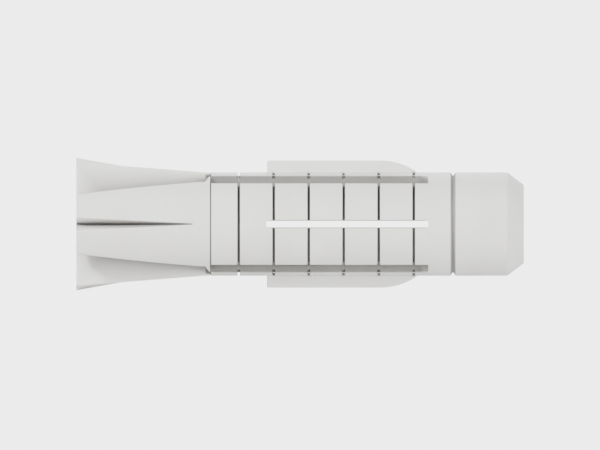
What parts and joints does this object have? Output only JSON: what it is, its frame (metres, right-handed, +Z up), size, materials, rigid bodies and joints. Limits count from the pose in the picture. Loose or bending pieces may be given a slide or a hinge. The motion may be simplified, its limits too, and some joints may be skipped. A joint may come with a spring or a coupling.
{
  "type": "wall anchor",
  "caption": "Moulded nylon wall plug: flared, barbed mouth whose leaves close inward, slotted cage of strips that a screw spreads, side fins and a bored, chamfered nose.",
  "frame": {"origin": "centre of the mouth, on the plug's axis, in the plane of its rim", "axes": "+X from the mouth into the wall, along the plug; +Z up, towards one of the two fins"},
  "size_m": [0.0433, 0.012, 0.0128],
  "materials": {
    "nylon": "natural nylon, fine matt mould texture"
  },
  "bodies": {
    "core": {"web_top": "nylon", "web_bottom": "nylon", "collar_front": "nylon", "collar_back": "nylon", "leg_root_front": "nylon", "leg_root_back": "nylon", "tail_ring": "nylon", "nose_neck": "nylon", "nose_cap": "nylon"},
    "tongue_top": {"tongue_top": "nylon", "barb_top": "nylon"},
    "tongue_bottom": {"tongue_bottom": "nylon", "barb_bottom": "nylon"},
    "cheek_front": {"cheek_front": "nylon"},
    "cheek_back": {"cheek_back": "nylon"},
    "strip_top": {"strip_top": "nylon", "fin_top": "nylon"},
    "strip_bottom": {"strip_bottom": "nylon", "fin_bottom": "nylon"},
    "strip_front_upper": {"strip_front_upper": "nylon"},
    "strip_front_lower": {"strip_front_lower": "nylon"},
    "strip_back_upper": {"strip_back_upper": "nylon"},
    "strip_back_lower": {"strip_back_lower": "nylon"}
  },
  "joints": [
    {"name": "tongue_top_hinge", "type": "hinge", "parent": "core", "child": "tongue_top", "pos_m": [0.0125, 0, 0.00478], "axis": [0, -1, 0], "range_deg": [0, 6.4], "stiffness_Nm_per_rad": 0.02},
    {"name": "tongue_bottom_hinge", "type": "hinge", "parent": "core", "child": "tongue_bottom", "pos_m": [0.0125, 0, -0.00478], "axis": [0, 1, 0], "range_deg": [0, 6.4], "stiffness_Nm_per_rad": 0.02},
    {"name": "cheek_front_hinge", "type": "hinge", "parent": "core", "child": "cheek_front", "pos_m": [0.0125, -0.00165, 0], "axis": [0, 0, -1], "range_deg": [0, 4.4], "stiffness_Nm_per_rad": 0.02},
    {"name": "cheek_back_hinge", "type": "hinge", "parent": "core", "child": "cheek_back", "pos_m": [0.0125, 0.00165, 0], "axis": [0, 0, 1], "range_deg": [0, 4.4], "stiffness_Nm_per_rad": 0.02},
    {"name": "strip_top_spread", "type": "slide", "parent": "core", "child": "strip_top", "axis": [0, 0, 1], "range_m": [0, 0.0012], "stiffness_N_per_m": 200},
    {"name": "strip_bottom_spread", "type": "slide", "parent": "core", "child": "strip_bottom", "axis": [0, 0, -1], "range_m": [0, 0.0012], "stiffness_N_per_m": 200},
    {"name": "strip_front_upper_spread", "type": "slide", "parent": "core", "child": "strip_front_upper", "axis": [0, -0.8625, 0.506], "range_m": [0, 0.0012], "stiffness_N_per_m": 200},
    {"name": "strip_front_lower_spread", "type": "slide", "parent": "core", "child": "strip_front_lower", "axis": [0, -0.8625, -0.506], "range_m": [0, 0.0012], "stiffness_N_per_m": 200},
    {"name": "strip_back_upper_spread", "type": "slide", "parent": "core", "child": "strip_back_upper", "axis": [0, 0.8625, 0.506], "range_m": [0, 0.0012], "stiffness_N_per_m": 200},
    {"name": "strip_back_lower_spread", "type": "slide", "parent": "core", "child": "strip_back_lower", "axis": [0, 0.8625, -0.506], "range_m": [0, 0.0012], "stiffness_N_per_m": 200}
  ],
  "couplings": [
    {"joint": "strip_bottom_spread", "follows": "strip_top_spread", "ratio": 1},
    {"joint": "strip_front_upper_spread", "follows": "strip_top_spread", "ratio": 1},
    {"joint": "strip_front_lower_spread", "follows": "strip_top_spread", "ratio": 1},
    {"joint": "strip_back_upper_spread", "follows": "strip_top_spread", "ratio": 1},
    {"joint": "strip_back_lower_spread", "follows": "strip_top_spread", "ratio": 1}
  ]
}
